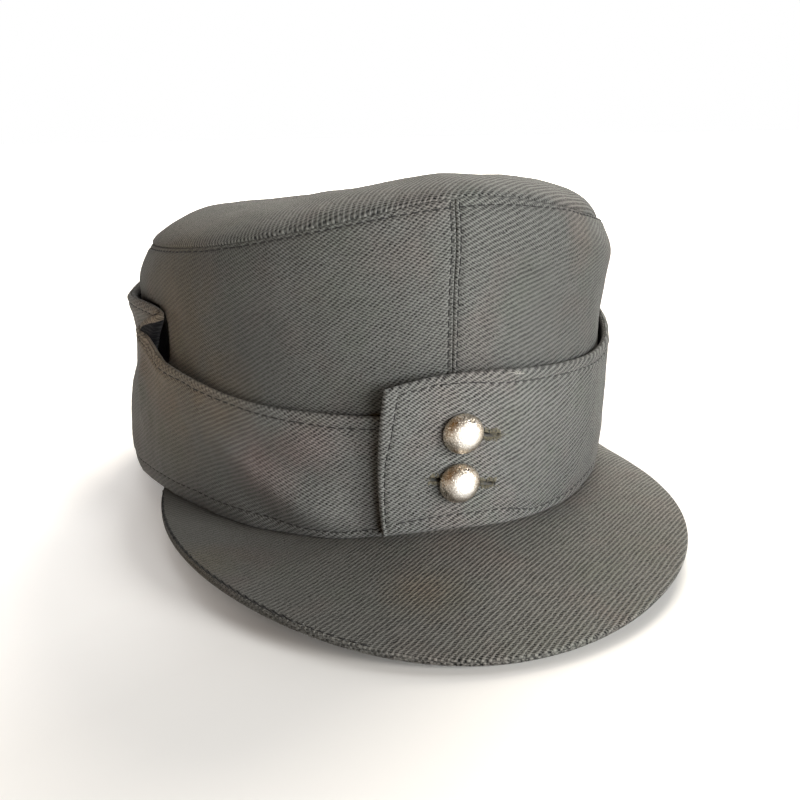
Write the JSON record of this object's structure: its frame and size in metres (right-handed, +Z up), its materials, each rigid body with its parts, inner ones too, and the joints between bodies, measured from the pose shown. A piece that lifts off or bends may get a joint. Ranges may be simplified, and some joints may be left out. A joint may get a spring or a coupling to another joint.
{
  "type": "field cap",
  "caption": "Soft cloth field cap with a short curved peak, a folded-up band lapped and buttoned at the front, and a low domed top panel that slopes to the back.",
  "frame": {"origin": "centre of the bounding box's base, on the surface that the cap rests on", "axes": "+Z up, the peak points to -Y, +X is the wearer's left"},
  "size_m": [0.1832, 0.2648, 0.1169],
  "materials": {
    "cloth": "matt, bold steep twill",
    "button_metal": "pebbled, silvered"
  },
  "bodies": {
    "root": {"crown_top": "cloth", "crown_side_right": "cloth", "crown_side_left": "cloth", "flap_right": "cloth", "flap_left": "cloth", "peak_top": "cloth", "peak_under": "cloth", "button_upper": "button_metal", "button_lower": "button_metal"}
  },
  "joints": []
}
